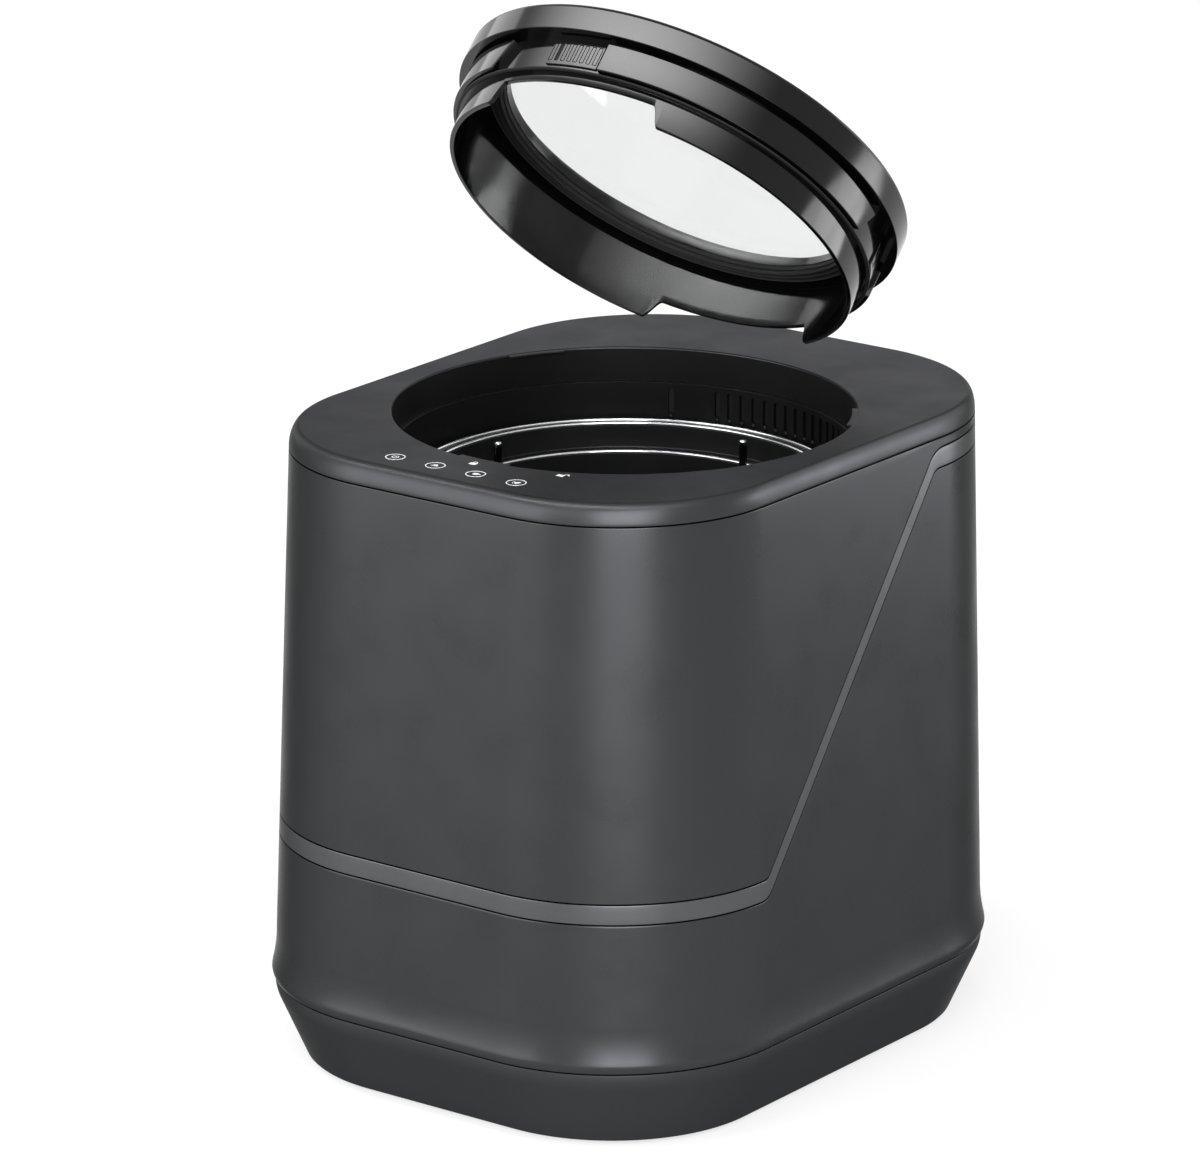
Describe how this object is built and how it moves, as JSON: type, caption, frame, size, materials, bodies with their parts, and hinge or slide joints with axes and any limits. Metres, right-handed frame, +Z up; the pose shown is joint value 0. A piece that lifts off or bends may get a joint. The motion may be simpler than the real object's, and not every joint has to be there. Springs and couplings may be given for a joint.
{
  "type": "electric food waste composter",
  "caption": "Countertop electric food waste composter: tapered housing, round chamber with lift-out bucket and agitator, twist-off window lid shown raised.",
  "frame": {"origin": "on the floor, under the middle of the base", "axes": "+X to the right seen from the front, +Y to the rear, +Z up"},
  "size_m": [0.264, 0.324, 0.4912],
  "materials": {
    "shell_graphite": "satin moulded plastic",
    "base_charcoal": "fine matt moulded plastic",
    "trim_satin": "satin metallic paint",
    "mark_white": "printed",
    "lid_black": "gloss",
    "inner_black": "matt, fine grain",
    "window_clear": "polished",
    "rubber_black": "matt",
    "steel_bright": "polished",
    "steel_plain": "brushed",
    "coated_pot": "non-stick coating",
    "aluminium": "machined",
    "brass": "turned",
    "board_green": "solder mask",
    "gear_nylon": "natural nylon",
    "foam_grey": "felted",
    "carbon": "granular",
    "plastic_grey": "moulded"
  },
  "bodies": {
    "housing": {"base_pan": "base_charcoal", "rubber_feet": "rubber_black", "frame_plate": "steel_plain", "frame_screws": "steel_plain", "lower_shell": "shell_graphite", "front_panel": "shell_graphite", "trim_strip": "trim_satin", "top_cover": "shell_graphite", "touch_marks": "mark_white", "touch_board": "board_green", "touch_springs": "steel_plain", "chamber_liner": "inner_black", "insulation_wrap": "foam_grey", "heating_plate": "aluminium", "heating_element": "steel_plain", "temperature_sensor": "brass", "main_board": "board_green", "board_parts": "plastic_grey", "power_inlet": "inner_black", "inlet_pins": "brass", "gearbox_case": "plastic_grey", "gearbox_cover": "plastic_grey", "gearbox_screws": "steel_plain", "output_bearing": "steel_plain", "idler_pin": "steel_plain", "motor_can": "steel_plain", "filter_case": "plastic_grey", "exhaust_duct": "plastic_grey", "rear_grille": "shell_graphite", "fan_frame": "inner_black"},
    "fan": {"fan_impeller": "inner_black"},
    "output_drive": {"output_shaft": "steel_plain", "output_gear": "gear_nylon"},
    "idler": {"idler_gear": "gear_nylon"},
    "motor": {"motor_pinion": "brass", "motor_shaft": "steel_plain", "motor_rotor": "steel_plain"},
    "filter_drawer": {"filter_cover": "shell_graphite", "filter_tray": "plastic_grey", "filter_cartridge": "carbon"},
    "bucket": {"bucket": "coated_pot", "bucket_rim_bead": "steel_bright", "bucket_neck_bead": "steel_bright", "bucket_step_bead": "steel_bright", "shear_posts": "steel_bright", "shaft_bush": "brass", "shaft_seal": "rubber_black"},
    "handle": {"bucket_handle": "steel_bright", "handle_grip": "inner_black"},
    "agitator": {"agitator_shaft": "steel_plain", "agitator_arms": "steel_plain", "agitator_cap": "steel_plain"},
    "lid_window": {"window_frame": "lid_black", "window_glass": "window_clear", "window_gasket": "rubber_black"},
    "lid_ring": {"lid_band": "lid_black", "lid_collar": "lid_black", "lid_vent_plates": "lid_black", "lid_seal": "rubber_black"}
  },
  "joints": [
    {"name": "lid_tilt", "type": "hinge", "parent": "housing", "child": "lid_window", "pos_m": [-0.00791, 0.13678, 0.3015], "axis": [-0.9985, -0.055, 0], "range_deg": [-46, 0]},
    {"name": "lid_turn", "type": "hinge", "parent": "lid_window", "child": "lid_ring", "pos_m": [-0.00213, 0.03187, 0.40008], "axis": [-0.0395, 0.7183, 0.6947], "range_deg": [-22.5, 0]},
    {"name": "bucket_lift", "type": "slide", "parent": "housing", "child": "bucket", "axis": [0, 0, 1], "range_m": [0, 0.038]},
    {"name": "handle_swing", "type": "hinge", "parent": "bucket", "child": "handle", "pos_m": [0, -0.0069, 0.2594], "axis": [-1, 0, 0], "range_deg": [0, 90]},
    {"name": "output_spin", "type": "hinge", "parent": "housing", "child": "output_drive", "pos_m": [0, -0.0069, 0.03], "axis": [0, 0, 1], "continuous": true},
    {"name": "idler_spin", "type": "hinge", "parent": "housing", "child": "idler", "pos_m": [0, 0.0801, 0.022], "axis": [0, 0, 1], "continuous": true},
    {"name": "motor_spin", "type": "hinge", "parent": "housing", "child": "motor", "pos_m": [0, 0.1266, 0.022], "axis": [0, 0, 1], "continuous": true},
    {"name": "agitator_spin", "type": "hinge", "parent": "bucket", "child": "agitator", "pos_m": [0, -0.0069, 0.1], "axis": [0, 0, 1], "continuous": true},
    {"name": "fan_spin", "type": "hinge", "parent": "housing", "child": "fan", "pos_m": [0, 0.148, 0.141], "axis": [0, 1, 0], "continuous": true},
    {"name": "filter_slide", "type": "slide", "parent": "housing", "child": "filter_drawer", "axis": [0, 1, 0], "range_m": [0, 0.04]}
  ],
  "couplings": [
    {"joint": "idler_spin", "follows": "output_spin", "ratio": -1.6364},
    {"joint": "motor_spin", "follows": "output_spin", "ratio": 4},
    {"joint": "agitator_spin", "follows": "output_spin", "ratio": 1}
  ]
}
